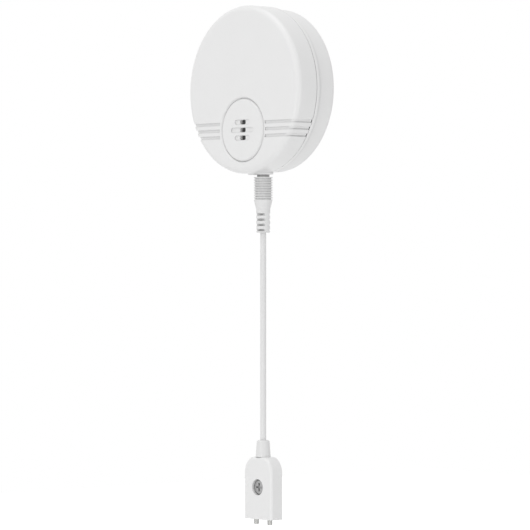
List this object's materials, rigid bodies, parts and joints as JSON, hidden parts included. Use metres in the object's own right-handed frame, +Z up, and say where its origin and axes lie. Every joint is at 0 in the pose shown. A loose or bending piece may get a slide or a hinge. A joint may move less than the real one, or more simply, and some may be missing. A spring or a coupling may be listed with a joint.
{
  "type": "water leak sensor",
  "caption": "Round white wall-mounted leak sensor with a slotted test button and a plug-in lead carrying a flat probe with metal sensing pins.",
  "frame": {"origin": "on the wall, behind the middle of the disc, at the back face of the adhesive pad", "axes": "+Z up, +Y into the wall, front face towards -Y, +X to the right seen from the front"},
  "size_m": [0.06, 0.02, 0.1857],
  "materials": {
    "foam": "matte closed-cell foam with adhesive",
    "white_matte": "fine matte moulded plastic",
    "white_cover": "fine satin moulded plastic",
    "white_housing": "fine satin moulded plastic",
    "white_button": "fine satin moulded plastic",
    "white_rubber": "soft matte silicone",
    "screw_steel": "zinc-plated steel",
    "board_green": "solder mask over laminate",
    "chip_black": "moulded black plastic",
    "shield_can": "tinned steel",
    "led_lens": "clear moulded resin",
    "cell_steel": "nickel-plated steel",
    "contact_metal": "spring metal",
    "plug_metal": "nickel-plated brass",
    "lead_white": "soft moulded plastic",
    "cable_white": "smooth soft jacket",
    "white_probe": "fine satin moulded plastic",
    "pin_metal": "stainless steel",
    "wire_black": "thin insulated wire"
  },
  "bodies": {
    "wall_mount": {"wall_plate": "white_matte", "adhesive_pad": "foam"},
    "sensor": {"front_cover": "white_cover", "rear_housing": "white_housing", "seal_ring": "white_rubber", "housing_screws": "screw_steel", "jack_collar": "white_cover", "circuit_board": "board_green", "board_components": "chip_black", "radio_module": "shield_can", "status_led": "led_lens", "sounder": "chip_black", "button_switch": "chip_black", "button_gasket": "white_rubber", "battery": "cell_steel", "battery_side_contact": "contact_metal", "battery_leaf_contact": "contact_metal", "jack_socket": "chip_black", "jack_contacts": "contact_metal"},
    "button": {"test_button": "white_button", "switch_plunger": "chip_black"},
    "door": {"battery_door": "white_matte"},
    "probe_lead": {"plug_sleeve": "plug_metal", "plug_insulator": "chip_black", "plug_tip": "plug_metal", "plug_grip": "lead_white", "cable": "cable_white", "probe_boot": "lead_white", "probe_front_shell": "white_probe", "probe_back_lid": "white_probe", "probe_screw": "screw_steel", "probe_pins": "pin_metal", "probe_wires": "wire_black"}
  },
  "joints": [
    {"name": "unit_twist", "type": "hinge", "parent": "wall_mount", "child": "sensor", "pos_m": [0, -0.0031, 0], "axis": [0, -1, 0], "range_deg": [0, 18]},
    {"name": "button_press", "type": "slide", "parent": "sensor", "child": "button", "axis": [0, 1, 0], "range_m": [0, 0.0005], "stiffness_N_per_m": 600, "springref_m": -0.0005, "deforming": ["button_gasket"]},
    {"name": "door_turn", "type": "hinge", "parent": "sensor", "child": "door", "pos_m": [0, -0.0035, 0.00325], "axis": [0, 1, 0], "range_deg": [0, 40]},
    {"name": "plug_pull", "type": "slide", "parent": "sensor", "child": "probe_lead", "axis": [0, 0, -1], "range_m": [0, 0.015]}
  ]
}
